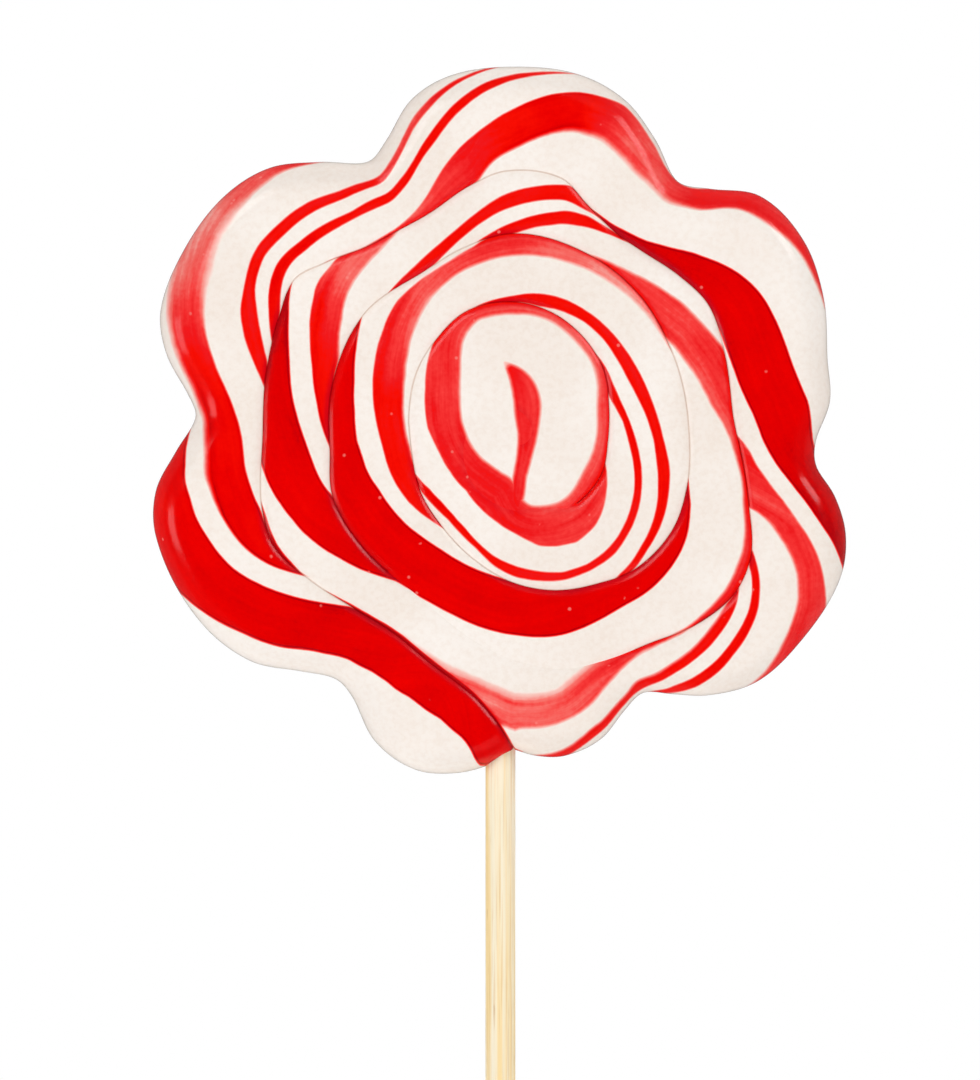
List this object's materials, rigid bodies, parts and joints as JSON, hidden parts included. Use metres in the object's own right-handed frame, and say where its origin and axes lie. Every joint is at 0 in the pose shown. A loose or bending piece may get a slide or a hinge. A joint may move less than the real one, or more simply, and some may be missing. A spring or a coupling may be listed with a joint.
{
  "type": "swirl lollipop",
  "caption": "Flat flower-shaped lollipop: a red and white striped sugar rope coiled and pressed into petals, on a round wooden stick.",
  "frame": {"origin": "middle of the coil, on the flat back that it lies on", "axes": "+Z out of the shown face, +Y along the stick from its free end to the head, +X to the right seen from the front"},
  "size_m": [0.0902, 0.2122, 0.009],
  "materials": {
    "sugar": "glossy boiled sugar, milky white with see-through red stripes",
    "bamboo": "pale bare bamboo with fine lengthwise grain"
  },
  "bodies": {
    "root": {"candy": "sugar", "stick": "bamboo"}
  },
  "joints": []
}
